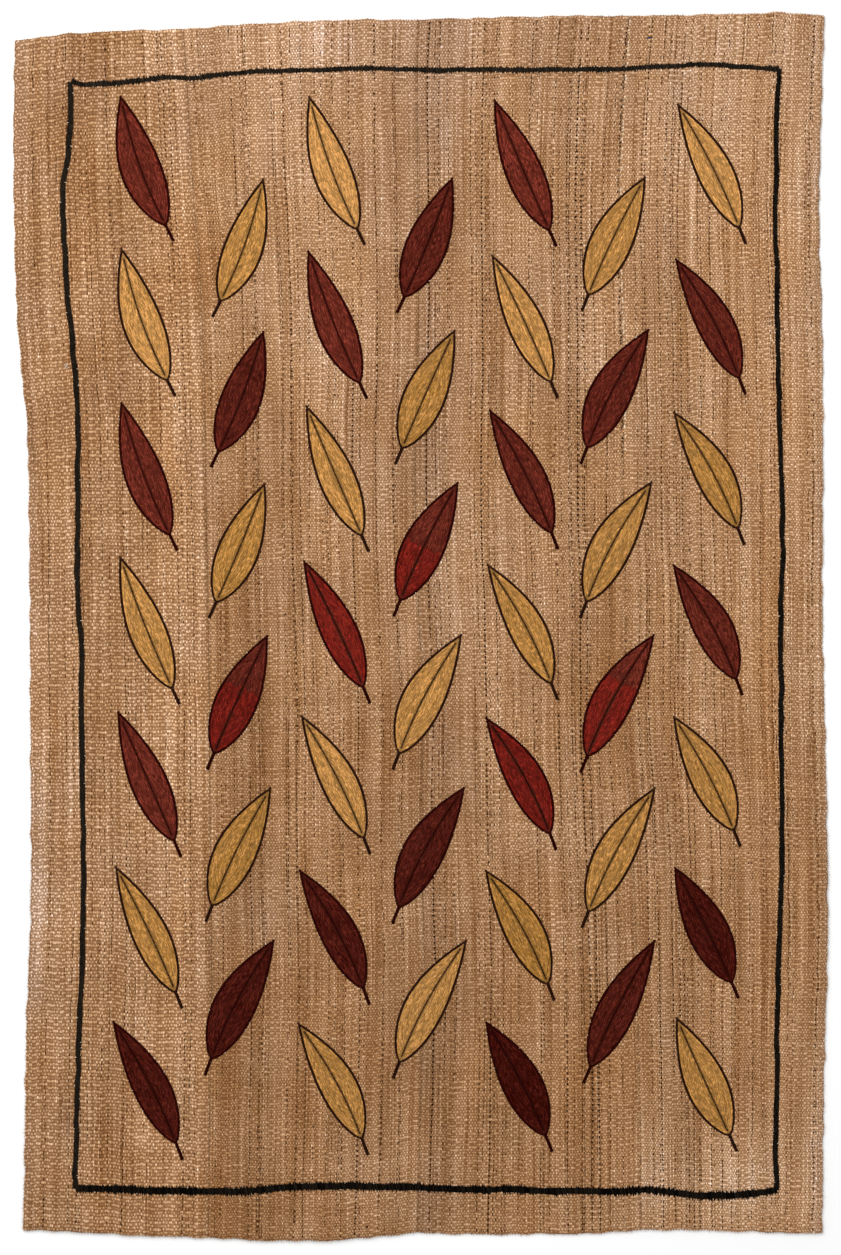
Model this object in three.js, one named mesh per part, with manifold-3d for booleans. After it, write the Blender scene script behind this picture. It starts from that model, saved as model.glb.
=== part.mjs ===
// A flatweave wool rug, lying flat: four woven strips joined selvedge to
// selvedge, with a border line and leaves stitched across them, which stand a
// little proud of the weave.
// Millimetres, +Z up, +Y along the rug. The origin is under the rug's centre,
// on the surface that it lies on.
import * as THREE from 'three';
import { mergeVertices } from 'three/addons/utils/BufferGeometryUtils.js';
import Module from 'manifold-3d';

// Strips
const clothThickness = 3;
const clothEdgeRound = 1;         // softening of the top and bottom edges
const outlineStep = 90;           // spacing of the outline's points
const seamGap = 0.32;             // between the selvedges of two strips

// The four corners of the rug, which the loom left out of square
const corner = {
  topLeft: { x: -855, y: 1236 },
  topRight: { x: 851, y: 1289 },
  bottomRight: { x: 847, y: -1278 },
  bottomLeft: { x: -838, y: -1272 },
};

// Where each edge runs between its corners
const topEnd = [
  { x: -722, y: 1252 }, { x: -533, y: 1260 }, { x: -343, y: 1272 }, { x: -153, y: 1280 },
  { x: 37, y: 1282 }, { x: 290, y: 1288 }, { x: 607, y: 1291 }, { x: 796, y: 1295 },
];
const rightSelvedge = [
  { x: 845, y: 1111 }, { x: 840, y: 858 }, { x: 847, y: 605 }, { x: 848, y: 310 },
  { x: 847, y: 15 }, { x: 855, y: -323 }, { x: 858, y: -660 }, { x: 851, y: -913 }, { x: 848, y: -1124 },
];
const bottomEnd = [
  { x: 733, y: -1276 }, { x: 607, y: -1272 }, { x: 375, y: -1278 }, { x: 100, y: -1280 },
  { x: -90, y: -1285 }, { x: -216, y: -1294 }, { x: -406, y: -1291 }, { x: -596, y: -1283 }, { x: -722, y: -1275 },
];
const leftSelvedge = [
  { x: -835, y: -1145 }, { x: -831, y: -850 }, { x: -821, y: -576 }, { x: -822, y: -238 },
  { x: -824, y: 110 }, { x: -828, y: 394 }, { x: -839, y: 521 }, { x: -852, y: 689 }, { x: -858, y: 985 },
];

// The three joins between strips, from the top end to the bottom end
const seamLeft = [
  { x: -499, y: 1261 }, { x: -490, y: 1110 }, { x: -480, y: 935 }, { x: -467, y: 782 }, { x: -457, y: 560 },
  { x: -450, y: 175 }, { x: -446, y: -80 }, { x: -442, y: -534 }, { x: -440, y: -736 }, { x: -444, y: -998 }, { x: -448, y: -1287 },
];
const seamMiddle = [
  { x: -3, y: 1280 }, { x: -7, y: 1133 }, { x: -5, y: 816 }, { x: -5, y: 584 }, { x: -11, y: 415 }, { x: -9, y: 183 },
  { x: -1, y: -27 }, { x: 5, y: -175 }, { x: 1, y: -428 }, { x: 7, y: -660 }, { x: 7, y: -787 }, { x: 1, y: -998 }, { x: -7, y: -1276 },
];
const seamRight = [
  { x: 440, y: 1288 }, { x: 433, y: 1196 }, { x: 425, y: 1069 }, { x: 419, y: 900 }, { x: 421, y: 774 },
  { x: 428, y: 487 }, { x: 428, y: 234 }, { x: 434, y: 65 }, { x: 431, y: -188 }, { x: 442, y: -365 },
  { x: 450, y: -525 }, { x: 457, y: -778 }, { x: 463, y: -998 }, { x: 466, y: -1270 },
];
const endRowReach = 25;           // rows of the ends nearer than this to a join are left out

// Border line: a band of stitches that wanders a little along each side
const borderWidth = 11;
const borderTop = [
  { x: -737, y: 1149 }, { x: -682, y: 1144 }, { x: -539, y: 1159 }, { x: -467, y: 1158 }, { x: -362, y: 1170 },
  { x: -159, y: 1175 }, { x: 58, y: 1175 }, { x: 379, y: 1176 }, { x: 594, y: 1186 }, { x: 665, y: 1181 }, { x: 756, y: 1176 },
];
const borderRight = [
  { x: 756, y: 1176 }, { x: 749, y: 1000 }, { x: 749, y: 795 }, { x: 758, y: 373 }, { x: 764, y: 141 },
  { x: 760, y: -27 }, { x: 762, y: -470 }, { x: 751, y: -892 }, { x: 750, y: -1187 },
];
const borderBottom = [
  { x: 750, y: -1187 }, { x: 621, y: -1199 }, { x: 492, y: -1186 }, { x: 406, y: -1191 }, { x: 168, y: -1185 },
  { x: -210, y: -1179 }, { x: -436, y: -1191 }, { x: -727, y: -1184 },
];
const borderLeft = [
  { x: -727, y: -1184 }, { x: -727, y: -1071 }, { x: -711, y: -597 }, { x: -715, y: -217 }, { x: -716, y: -27 },
  { x: -724, y: 67 }, { x: -723, y: 447 }, { x: -746, y: 732 }, { x: -754, y: 912 }, { x: -742, y: 1017 }, { x: -737, y: 1149 },
];

// Leaves: columns that lean left and right in turn, every second one dropped
// by half a repeat and a leaf shorter
const leafColumns = 7;
const leafColumnPitch = 198;
const leafRowPitch = 322;
const leafFieldCentre = { x: 16, y: -4 };
const leavesInColumn = 7;         // and one fewer in a dropped column
const leafLean = 24;              // degrees off the rug's length
const bladeLength = 286;
const bladeWidth = 86;
const bladeFullness = 0.85;       // under 1 rounds out the blade's ends
const bladeBelly = 0.8;           // under 1 sets the widest place nearer the stalk
const stalkLength = 36;
const stalkWidth = 8;
const bladeSteps = 9;             // outline steps along each side of a blade

// How far one leaf strays from the next, as hand work does
const stray = { shift: 7, lean: 4, length: 0.05, width: 0.07, bow: 13 };

// Stitching
const stitchRise = 1.6;           // height of the stitches over the weave
const stitchRound = 0.8;          // rounding of their edges
const stitchRoot = 1.2;           // how deep they are sewn into the cloth
const borderStep = 95;            // spacing of the points along the border line

const clothMaterial = new THREE.MeshStandardMaterial({
  color: 0xa87e59,
  roughness: 0.95,
  metalness: 0,
});

const wasm = await Module();
wasm.setup();

function toSolid(geometry) {
  geometry.deleteAttribute('normal');
  geometry.deleteAttribute('uv');
  const welded = mergeVertices(geometry, 1e-4);
  return new wasm.Manifold(new wasm.Mesh({
    numProp: 3,
    vertProperties: new Float32Array(welded.attributes.position.array),
    triVerts: new Uint32Array(welded.index.array),
  }));
}

function toGeometry(solid) {
  const mesh = solid.getMesh();
  const geometry = new THREE.BufferGeometry();
  geometry.setAttribute('position', new THREE.BufferAttribute(mesh.vertProperties, 3));
  geometry.setIndex(new THREE.BufferAttribute(mesh.triVerts, 1));
  geometry.computeVertexNormals();
  return geometry;
}

// Points at an even step along a smooth line through the rows of a table
function alongRows(rows, step) {
  const line = new THREE.SplineCurve(rows.map(({ x, y }) => new THREE.Vector2(x, y)));
  return line.getSpacedPoints(Math.round(line.getLength() / step));
}

// A seam's points moved across by half the gap, to either side
function besideSeam(rows, sign) {
  return alongRows(rows, outlineStep).map(({ x, y }) => new THREE.Vector2(x + sign * (seamGap / 2), y));
}

// The two long sides of each strip, from the top end to the bottom end
function stripSides() {
  const outerLeft = alongRows([corner.bottomLeft, ...leftSelvedge, corner.topLeft], outlineStep).reverse();
  const outerRight = alongRows([corner.topRight, ...rightSelvedge, corner.bottomRight], outlineStep);
  return [
    { name: 'strip_left', left: outerLeft, right: besideSeam(seamLeft, -1) },
    { name: 'strip_mid_left', left: besideSeam(seamLeft, 1), right: besideSeam(seamMiddle, -1) },
    { name: 'strip_mid_right', left: besideSeam(seamMiddle, 1), right: besideSeam(seamRight, -1) },
    { name: 'strip_right', left: besideSeam(seamRight, 1), right: outerRight },
  ];
}

// A strip's end between two of its corners, with the rows that lie between them
function alongEnd(from, rows, to) {
  const low = Math.min(from.x, to.x) + endRowReach;
  const high = Math.max(from.x, to.x) - endRowReach;
  return alongRows([from, ...rows.filter(({ x }) => x > low && x < high), to], outlineStep);
}

function stripSolid({ left, right }) {
  const last = (points) => points[points.length - 1];
  const edges = [
    alongEnd(left[0], topEnd, right[0]),
    right,
    alongEnd(last(right), bottomEnd, last(left)),
    [...left].reverse(),
  ];
  const outline = edges.flatMap((points) => points.slice(0, -1));
  const geometry = new THREE.ExtrudeGeometry(new THREE.Shape(outline), {
    depth: clothThickness - 2 * clothEdgeRound,
    bevelThickness: clothEdgeRound,
    bevelSize: clothEdgeRound,
    bevelOffset: -clothEdgeRound,
    bevelSegments: 1,
  });
  geometry.translate(0, 0, clothEdgeRound);
  return toSolid(geometry);
}

// Everything between the two long sides of a strip, at all heights
function stripRegion({ left, right }) {
  const geometry = new THREE.ExtrudeGeometry(new THREE.Shape([...left, ...[...right].reverse()]), {
    depth: 2 * (clothThickness + stitchRise),
    bevelEnabled: false,
  });
  geometry.translate(0, 0, -clothThickness);
  return toSolid(geometry);
}

// A stitched patch: its outline raised over the cloth, with rounded edges
function stitchedSolid(outline) {
  const geometry = new THREE.ExtrudeGeometry(new THREE.Shape(outline), {
    depth: stitchRoot + stitchRise - stitchRound,
    bevelThickness: stitchRound,
    bevelSize: stitchRound,
    bevelOffset: -stitchRound,
    bevelSegments: 1,
  });
  geometry.translate(0, 0, clothThickness - stitchRoot);
  return toSolid(geometry);
}

// A band of the border's width along one side, running on past both corners
// by half its width so that the four sides join
function borderSolid(rows) {
  const line = alongRows(rows, borderStep);
  const half = borderWidth / 2;
  const directionAt = (i) => line[Math.min(i + 1, line.length - 1)].clone()
    .sub(line[Math.max(i - 1, 0)]).normalize();
  line[0].addScaledVector(directionAt(0), -half);
  line[line.length - 1].addScaledVector(directionAt(line.length - 1), half);
  const sideOf = (sign) => line.map((point, i) => {
    const across = directionAt(i).rotateAround(new THREE.Vector2(), Math.PI / 2);
    return point.clone().addScaledVector(across, sign * half);
  });
  return stitchedSolid([...sideOf(-1), ...sideOf(1).reverse()]);
}

// An uneven but repeatable amount between -1 and 1 for each leaf and trait
function strayOf(leaf, trait) {
  return Math.sin(12.9898 * (leaf + 1) + 4.1414 * trait);
}

function leafPlaces() {
  const places = [];
  for (let column = 0; column < leafColumns; column += 1) {
    const dropped = column % 2;
    const count = leavesInColumn - dropped;
    for (let row = 0; row < count; row += 1) {
      const leaf = places.length;
      places.push({
        x: leafFieldCentre.x + (column - (leafColumns - 1) / 2) * leafColumnPitch + stray.shift * strayOf(leaf, 0),
        y: leafFieldCentre.y + (row - (count - 1) / 2) * leafRowPitch + stray.shift * strayOf(leaf, 1),
        lean: (dropped ? -1 : 1) * leafLean + stray.lean * strayOf(leaf, 2),
        length: bladeLength * (1 + stray.length * strayOf(leaf, 3)),
        width: bladeWidth * (1 + stray.width * strayOf(leaf, 4)),
        bow: stray.bow * strayOf(leaf, 5),
      });
    }
  }
  return places;
}

// One leaf: up one side of the blade, down the other and round the stalk,
// bent sideways by its bow and leant about its middle
function leafSolid({ x, y, lean, length, width, bow }) {
  const whole = length + stalkLength;
  const left = [];
  const right = [];
  for (let step = 1; step < bladeSteps; step += 1) {
    const along = step / bladeSteps;
    const half = (width / 2) * Math.sin(Math.PI * along ** bladeBelly) ** bladeFullness;
    left.push([-half, stalkLength + along * length]);
    right.unshift([half, stalkLength + along * length]);
  }
  const points = [
    [-stalkWidth / 2, 0], [-stalkWidth / 2, stalkLength], ...left,
    [0, whole], ...right, [stalkWidth / 2, stalkLength], [stalkWidth / 2, 0],
  ];
  const turn = THREE.MathUtils.degToRad(lean);
  const outline = points.map(([across, along]) => {
    const bend = bow * Math.sin((Math.PI * along) / whole);
    return new THREE.Vector2(across + bend, along - whole / 2)
      .rotateAround(new THREE.Vector2(), turn)
      .add(new THREE.Vector2(x, y));
  });
  return stitchedSolid(outline);
}

const stitches = [
  ...[borderTop, borderRight, borderBottom, borderLeft].map(borderSolid),
  ...leafPlaces().map(leafSolid),
].reduce((whole, stitched) => whole.add(stitched));

const rug = new THREE.Group();
for (const sides of stripSides()) {
  const solid = stripSolid(sides).add(stitches.intersect(stripRegion(sides)));
  const strip = new THREE.Mesh(toGeometry(solid), clothMaterial.clone());
  strip.name = sides.name;
  rug.add(strip);
}

export default rug;
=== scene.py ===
import math

import bpy
import numpy as np
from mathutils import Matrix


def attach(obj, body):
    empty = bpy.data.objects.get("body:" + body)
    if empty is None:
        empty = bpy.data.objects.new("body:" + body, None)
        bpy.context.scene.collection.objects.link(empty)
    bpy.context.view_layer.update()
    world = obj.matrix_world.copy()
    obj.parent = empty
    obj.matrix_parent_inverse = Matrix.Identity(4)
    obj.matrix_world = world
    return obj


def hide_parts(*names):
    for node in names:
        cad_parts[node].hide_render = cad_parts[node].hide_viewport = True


# A handwoven wool rug of four strips, seen from straight above. Metres, +Y along the rug.

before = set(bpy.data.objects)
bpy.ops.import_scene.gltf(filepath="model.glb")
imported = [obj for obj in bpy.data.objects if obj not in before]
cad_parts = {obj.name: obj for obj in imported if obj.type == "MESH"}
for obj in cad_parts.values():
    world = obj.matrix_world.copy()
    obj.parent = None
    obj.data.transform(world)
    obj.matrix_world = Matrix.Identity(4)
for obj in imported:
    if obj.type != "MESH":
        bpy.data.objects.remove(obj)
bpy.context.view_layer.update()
chance = np.random.default_rng(7)
print("frame loaded")


# Colours are given as they look in daylight, 0 to 255, and turned into what the cloth reflects
light = {"level": 1.12}


def dyed(red, green, blue):
    look = np.array([red, green, blue]) / 255
    linear = np.where(look > 0.04045, ((look + 0.055) / 1.055) ** 2.4, look / 12.92)
    return (*[float(part) for part in linear / light["level"]], 1.0)


# How the rug lies: low ripples that grow towards its edges
lie = {
    "middle": 0.0005, "edge": 0.0026, "reach": 0.16, "halfWidth": 0.86, "halfLength": 1.29, "rippled": 0.45,
}
ripples = [(5.3, 2.6, 0.6), (-3.2, 6.9, 2.1), (11.5, -7.4, 0.0)]   # turn a metre across and along, start


def liftAt(x, y):
    ripple = sum(np.sin(across * x + along * y + start) for across, along, start in ripples) / len(ripples)
    inside = np.minimum(lie["halfWidth"] - np.abs(x), lie["halfLength"] - np.abs(y)).clip(0)
    height = lie["middle"] + lie["edge"] * np.exp(-inside / lie["reach"])
    return height * (1 - lie["rippled"] + lie["rippled"] * ripple)


# Meshes from arrays

def makeMesh(name, points, faces, values=None, uv=None):
    mesh = bpy.data.meshes.new(name)
    faces = [np.asarray(group) for group in faces if len(group)]
    counts = np.concatenate([np.full(len(group), group.shape[1]) for group in faces])
    corners = np.concatenate([group.ravel() for group in faces])
    mesh.vertices.add(len(points))
    mesh.vertices.foreach_set("co", np.asarray(points, np.float32).ravel())
    mesh.loops.add(len(corners))
    mesh.loops.foreach_set("vertex_index", corners.astype(np.int32))
    mesh.polygons.add(len(counts))
    mesh.polygons.foreach_set("loop_start", np.concatenate([[0], np.cumsum(counts)[:-1]]).astype(np.int32))
    mesh.update(calc_edges=True)
    mesh.polygons.foreach_set("use_smooth", np.ones(len(counts), bool))
    for label, numbers in (values or {}).items():
        attribute = mesh.attributes.new(label, "FLOAT", "POINT")
        attribute.data.foreach_set("value", np.asarray(numbers, np.float32))
    if uv is not None:
        layer = mesh.uv_layers.new(name="weave")
        layer.data.foreach_set("uv", np.asarray(uv, np.float32)[corners].ravel())
    mesh.validate()
    thing = bpy.data.objects.new(name, mesh)
    bpy.context.scene.collection.objects.link(thing)
    return thing


# Lines

def smoothLine(rows, step):
    rows = np.array(rows, float)
    padded = np.vstack([rows[0], rows, rows[-1]])
    parts = []
    for index in range(1, len(padded) - 2):
        before, start, end, after = padded[index - 1:index + 3]
        count = max(2, int(np.linalg.norm(end - start) / step))
        t = (np.arange(count) / count)[:, None]
        slopeStart = (end - before) / 2
        slopeEnd = (after - start) / 2
        parts.append((2 * start - 2 * end + slopeStart + slopeEnd) * t ** 3
                     + (-3 * start + 3 * end - 2 * slopeStart - slopeEnd) * t ** 2 + slopeStart * t + start)
    return np.vstack(parts + [rows[-1:]])


def lengthAlong(line):
    return np.concatenate([[0], np.cumsum(np.linalg.norm(np.diff(line, axis=0), axis=1))])


def pointsEvery(line, pitch, jitter=0.0, nearby=0.001):
    # places at one pitch along a line, and the line's direction there
    reach = lengthAlong(line)
    count = max(1, int(reach[-1] / pitch))
    at = (np.arange(count) + 0.5) / count * reach[-1]
    at = at + chance.uniform(-jitter, jitter, count) * pitch
    place = np.stack([np.interp(at, reach, line[:, axis]) for axis in (0, 1)], 1)
    ahead = np.stack([np.interp(at + nearby, reach, line[:, axis]) for axis in (0, 1)], 1)
    behind = np.stack([np.interp(at - nearby, reach, line[:, axis]) for axis in (0, 1)], 1)
    step = ahead - behind
    return place, np.arctan2(step[:, 1], step[:, 0])


def besideLine(line, offset):
    step = np.gradient(line, axis=0)
    step = step / np.linalg.norm(step, axis=1)[:, None]
    return line + offset * np.column_stack([-step[:, 1], step[:, 0]])


def wavering(count, reach, amount):
    # an uneven amount that changes slowly along a line
    knots = chance.uniform(-amount, amount, max(4, int(count / reach)))
    return np.interp(np.linspace(0, len(knots) - 1, count), np.arange(len(knots)), knots)


# Strips of cloth
cloth = {
    "thickness": 0.003, "edgeRound": 0.0006, "cell": 0.009, "sideStep": 0.005, "rimHeight": 0.001,
    "closest": 0.012, "edgeStep": 0.006, "edgeWave": 0.00072, "cornerFade": 0.03,
}
edgeWaves = [(121, 1.0), (83, 2.3), (47, 3.1)]   # turn a metre, share of the side's own start


def wavyEdge(line, phase):
    # small waves of the rug's outer edge, none at its corners
    dense = smoothLine(line, cloth["edgeStep"])
    reach = lengthAlong(dense)
    wave = sum(np.sin(reach * turn + share * phase) for turn, share in edgeWaves)
    fade = np.minimum(1, np.minimum(reach, reach[-1] - reach) / cloth["cornerFade"])
    return besideLine(dense, (cloth["edgeWave"] * wave * fade)[:, None])


def stripSides(node):
    # the four sides of a strip, from the points of its solid that lie at one height of its rim
    points = np.array([vertex.co[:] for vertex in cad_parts[node].data.vertices])
    onRim = np.abs(points[:, 2] - cloth["rimHeight"]) < 1e-4
    rim = np.unique(np.round(points[onRim][:, :2], 5), axis=0)
    centre = (rim.min(0) + rim.max(0)) / 2
    rim = rim[np.argsort(np.arctan2(rim[:, 1] - centre[1], rim[:, 0] - centre[0]))]
    rim = rim[np.linalg.norm(rim - np.roll(rim, 1, axis=0), axis=1) > cloth["closest"]]
    rim = np.roll(rim, -int(np.argmin(rim.sum(1))), axis=0)
    bottomRight = int(np.argmax(rim[:, 0] - rim[:, 1]))
    topRight = int(np.argmax(rim.sum(1)))
    topLeft = int(np.argmax(rim[:, 1] - rim[:, 0]))
    closed = np.vstack([rim, rim[:1]])
    sides = {
        "bottom": closed[:bottomRight + 1],
        "right": closed[bottomRight:topRight + 1],
        "top": closed[topRight:topLeft + 1][::-1],
        "left": closed[topLeft:][::-1],
    }
    outer = {"strip_left": ["left"], "strip_right": ["right"]}.get(node, []) + ["top", "bottom"]
    for side in outer:
        sides[side] = wavyEdge(sides[side], len(node) + len(side))
    return sides


def alongSide(line, share):
    smooth = smoothLine(line, cloth["sideStep"])
    reach = lengthAlong(smooth)
    return np.stack([np.interp(share * reach[-1], reach, smooth[:, axis]) for axis in (0, 1)], -1)


def stripPoint(sides, across, along):
    # the place in a strip at a share of its width and of its length, between its four sides
    bottom, top = alongSide(sides["bottom"], across), alongSide(sides["top"], across)
    left, right = alongSide(sides["left"], along), alongSide(sides["right"], along)
    u, v = across[..., None], along[..., None]
    corners = ((1 - u) * (1 - v) * sides["bottom"][0] + u * (1 - v) * sides["bottom"][-1]
               + (1 - u) * v * sides["top"][0] + u * v * sides["top"][-1])
    return (1 - v) * bottom + v * top + (1 - u) * left + u * right - corners


# Patches where the rug is made lighter or darker, warmer or greyer than the rest
patches = [
    # x, y, reach across, reach along, tone, warmth
    (-0.76, 1.04, 0.18, 0.48, -0.18, 0),
    (-0.29, 1.05, 0.11, 0.30, 0.17, 0.05),
    (-0.36, -0.42, 0.07, 0.95, -0.21, -0.20),
    (-0.63, 0.25, 0.08, 0.60, -0.12, 0),
    (0.02, 0.70, 0.12, 0.45, -0.05, 0),
    (0.40, -0.17, 0.11, 0.16, -0.17, 0.20),
    (0.08, -1.00, 0.10, 0.35, -0.10, 0.10),
    (0.34, -0.40, 0.09, 0.12, 0.12, 0),
    (0.11, 0.00, 0.10, 0.20, 0.16, 0),
    (0.60, 1.15, 0.22, 0.30, 0.14, 0.05),
    (0.66, -1.20, 0.20, 0.12, 0.38, -0.20),
    (0.71, 0.00, 0.09, 1.20, 0.02, 0.40),
    (0.80, 0.60, 0.10, 0.60, 0.08, 0.05),
    (0.80, -0.50, 0.10, 0.30, -0.05, 0),
    (-0.80, -0.70, 0.10, 0.60, 0.12, 0),
    (-0.14, 1.24, 0.12, 0.12, 0.16, 0),
    (-0.40, -1.22, 0.10, 0.12, -0.10, -0.10),
    (-0.58, -0.66, 0.11, 0.26, 0.15, 0),
    (-0.07, -1.20, 0.16, 0.14, 0.16, 0),
    (-0.49, 0.78, 0.07, 0.12, -0.20, 0.20),
    (-0.21, 0.58, 0.07, 0.22, 0.13, 0),
    (-0.35, 0.56, 0.06, 0.14, -0.13, 0),
    (0.35, 0.62, 0.08, 0.12, 0.12, 0),
    (-0.07, -0.24, 0.08, 0.14, -0.14, 0.40),
    (-0.35, -0.60, 0.07, 0.08, 0.28, -0.50),
    (-0.07, -0.88, 0.07, 0.18, -0.11, 0),
    (0.00, 1.26, 1.20, 0.20, 0.00, -0.40),
    (-0.21, -0.60, 0.06, 0.12, -0.13, 0),
    (0.62, -0.60, 0.08, 0.10, -0.11, 0),
    (0.00, -0.95, 0.90, 0.60, -0.04, 0.15),
]
# Bands of warmer or greyer yarn that run from end to end of a strip
bands = [
    # strip, share across, reach as a share, tone, warmth
    ("strip_left", 0.00, 0.07, 0.06, -0.50),
    ("strip_left", 0.80, 0.17, 0.12, 0.25),
    ("strip_mid_left", 0.06, 0.10, -0.06, 0.15),
    ("strip_mid_left", 1.00, 0.22, -0.04, -0.40),
    ("strip_mid_right", 0.02, 0.18, -0.06, -0.80),
    ("strip_mid_right", 0.50, 0.12, 0.01, 0.05),
    ("strip_mid_right", 0.75, 0.07, -0.07, -0.10),
    ("strip_right", 0.44, 0.11, 0.10, 0),
    ("strip_right", 0.86, 0.08, 0.08, 0.05),
    ("strip_right", 1.00, 0.07, 0.08, -0.40),
]
paintedLightUp = 0.025   # painted light: tone a metre, so the rug is lighter towards the top as if more light fell there

def patchwork(node, points, share):
    tone = paintedLightUp * points[:, 1]
    warmth = np.zeros(len(points))
    for x, y, across, along, toneHere, warmthHere in patches:
        near = np.exp(-((points[:, 0] - x) / across) ** 2 - ((points[:, 1] - y) / along) ** 2)
        tone = tone + toneHere * near
        warmth = warmth + warmthHere * near
    for strip, middle, reach, toneHere, warmthHere in bands:
        near = np.exp(-((share - middle) / reach) ** 2) * (strip == node)
        tone = tone + toneHere * near
        warmth = warmth + warmthHere * near
    return tone, warmth


def toEdge(share, inset):
    # shares of the points nearest the edge, moved out to it
    share = np.where(share <= inset * 1.01, 0, share)
    return np.where(share >= 1 - inset * 1.01, 1, share)


def weaveStrip(node):
    sides = stripSides(node)
    levels = np.linspace(0, 1, 60)
    acrossStrip = alongSide(sides["right"], levels) - alongSide(sides["left"], levels)
    width = float(np.mean(np.linalg.norm(acrossStrip, axis=1)))
    length = float(lengthAlong(sides["left"])[-1] + lengthAlong(sides["right"])[-1]) / 2
    columns = round(width / cloth["cell"])
    rows = round(length / cloth["cell"])
    insetAcross, insetAlong = cloth["edgeRound"] / width, cloth["edgeRound"] / length
    across = np.linspace(insetAcross, 1 - insetAcross, columns + 1)
    along = np.linspace(insetAlong, 1 - insetAlong, rows + 1)
    u, v = [part.ravel() for part in np.meshgrid(across, along)]
    flat = stripPoint(sides, u, v)
    size = len(flat)
    index = np.arange(size).reshape(rows + 1, columns + 1)
    border = np.concatenate([index[0, :-1], index[:-1, -1], index[-1, :0:-1], index[:0:-1, 0]])
    rimU, rimV = toEdge(u[border], insetAcross), toEdge(v[border], insetAlong)
    rim = stripPoint(sides, rimU, rimV)
    plan = np.vstack([flat, flat, rim])
    height = cloth["thickness"] * np.concatenate([np.ones(size), np.zeros(size), np.full(len(rim), 0.5)])
    points = np.column_stack([plan, height + liftAt(plan[:, 0], plan[:, 1])])
    upper = np.stack([index[:-1, :-1], index[:-1, 1:], index[1:, 1:], index[1:, :-1]], -1).reshape(-1, 4)
    rimIndex = 2 * size + np.arange(len(rim))
    ahead = np.roll(border, -1)
    rimAhead = np.roll(rimIndex, -1)
    faces = np.vstack([
        upper,
        upper[:, ::-1] + size,
        np.stack([rimIndex, rimAhead, ahead, border], -1),
        np.stack([border + size, ahead + size, rimAhead, rimIndex], -1),
    ])
    share = np.column_stack([np.concatenate([u, u, rimU]), np.concatenate([v, v, rimV])])
    tone, warmth = patchwork(node, plan, share[:, 0])
    values = {"tone": tone, "warmth": warmth}
    strip = makeMesh(node + "_weave", points, [faces], values, share * [width, length])
    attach(strip, "root")
    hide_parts(node)
    print(node, "woven,", round(width, 3), "by", round(length, 3), "m")
    return strip, sides, width


# Material building

def feed(tree, socket, value):
    if isinstance(value, bpy.types.NodeSocket):
        tree.links.new(value, socket)
    else:
        socket.default_value = value


def calc(tree, operation, *values):
    node = tree.nodes.new("ShaderNodeMath")
    node.operation = operation
    for socket, value in zip(node.inputs, values):
        feed(tree, socket, value)
    return node.outputs[0]


def blendColour(tree, share, first, second, way="MIX"):
    node = tree.nodes.new("ShaderNodeMix")
    node.data_type = "RGBA"
    node.blend_type = way
    feed(tree, node.inputs[0], share)
    feed(tree, node.inputs[6], first)
    feed(tree, node.inputs[7], second)
    return node.outputs[2]


def scaleColour(tree, colour, amount):
    node = tree.nodes.new("ShaderNodeVectorMath")
    node.operation = "SCALE"
    feed(tree, node.inputs[0], colour)
    feed(tree, node.inputs[3], amount)
    return node.outputs[0]


def noise(tree, vector, scale, detail=2.0):
    node = tree.nodes.new("ShaderNodeTexNoise")
    node.noise_dimensions = "3D"
    feed(tree, node.inputs["Vector"], vector)
    node.inputs["Scale"].default_value = scale
    node.inputs["Detail"].default_value = detail
    return node.outputs[0]


def stretchedNoise(tree, across, along, scales, seed, detail=2.0):
    joined = tree.nodes.new("ShaderNodeCombineXYZ")
    feed(tree, joined.inputs[0], calc(tree, "MULTIPLY", across, scales[0]))
    feed(tree, joined.inputs[1], calc(tree, "MULTIPLY", along, scales[1]))
    joined.inputs[2].default_value = seed
    return noise(tree, joined.outputs[0], 1.0, detail)


def perThread(tree, number, seed):
    node = tree.nodes.new("ShaderNodeTexWhiteNoise")
    node.noise_dimensions = "1D"
    feed(tree, node.inputs["W"], calc(tree, "ADD", number, seed))
    return node.outputs[0]


def perCell(tree, across, along, seed):
    joined = tree.nodes.new("ShaderNodeCombineXYZ")
    feed(tree, joined.inputs[0], across)
    feed(tree, joined.inputs[1], along)
    joined.inputs[2].default_value = seed
    node = tree.nodes.new("ShaderNodeTexWhiteNoise")
    node.noise_dimensions = "3D"
    tree.links.new(joined.outputs[0], node.inputs["Vector"])
    return node.outputs[0]


def attribute(tree, name):
    node = tree.nodes.new("ShaderNodeAttribute")
    node.attribute_name = name
    return node.outputs["Fac"]


def around(tree, value, amount):
    # turns 0 to 1 into a factor that lies evenly around 1
    return calc(tree, "MULTIPLY_ADD", value, 2 * amount, 1 - amount)


def roughen(tree, shader, height, strength, distance):
    bump = tree.nodes.new("ShaderNodeBump")
    bump.inputs["Strength"].default_value = strength
    bump.inputs["Distance"].default_value = distance
    feed(tree, bump.inputs["Height"], height)
    tree.links.new(bump.outputs[0], shader.inputs["Normal"])


def newMaterial(name):
    material = bpy.data.materials.new(name)
    material.use_nodes = True
    tree = material.node_tree
    shader = tree.nodes["Principled BSDF"]
    return material, tree, shader


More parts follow.
